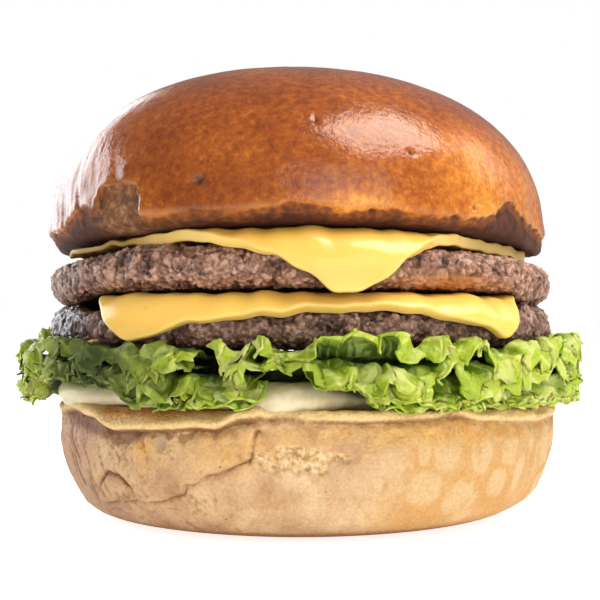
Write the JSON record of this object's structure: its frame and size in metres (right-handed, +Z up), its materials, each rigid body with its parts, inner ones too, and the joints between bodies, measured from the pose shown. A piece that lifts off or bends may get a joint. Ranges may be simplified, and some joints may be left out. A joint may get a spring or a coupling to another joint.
{
  "type": "double cheeseburger",
  "caption": "Layered cheeseburger: glazed bun crown, beef patties with melted cheese slices, frilly lettuce and mayonnaise on a toasted bun heel, standing on its flat base.",
  "frame": {"origin": "middle of the flat base of the bun heel, where the burger stands", "axes": "+Z up through the layers; +X to the right and -Y towards the viewer, in the view the picture has of its front"},
  "size_m": [0.1374, 0.1311, 0.1042],
  "materials": {
    "bun_crust": "egg-washed, baked brown and glossy",
    "bun_base": "pale dry bread, toasted at its lip",
    "beef": "seared coarse mince, greasy in places",
    "cheese": "melted processed cheese, smooth and satin",
    "lettuce": "thin fresh leaf, slightly waxy",
    "mayonnaise": "thick glossy sauce"
  },
  "bodies": {
    "root": {"bun_heel": "bun_base", "mayonnaise": "mayonnaise", "lettuce_leaf_left": "lettuce", "lettuce_leaf_right": "lettuce", "lettuce_leaf_front": "lettuce", "lettuce_leaf_back": "lettuce", "patty_lower": "beef", "cheese_lower": "cheese", "patty_upper": "beef", "cheese_upper": "cheese", "bun_crown": "bun_crust"}
  },
  "joints": []
}
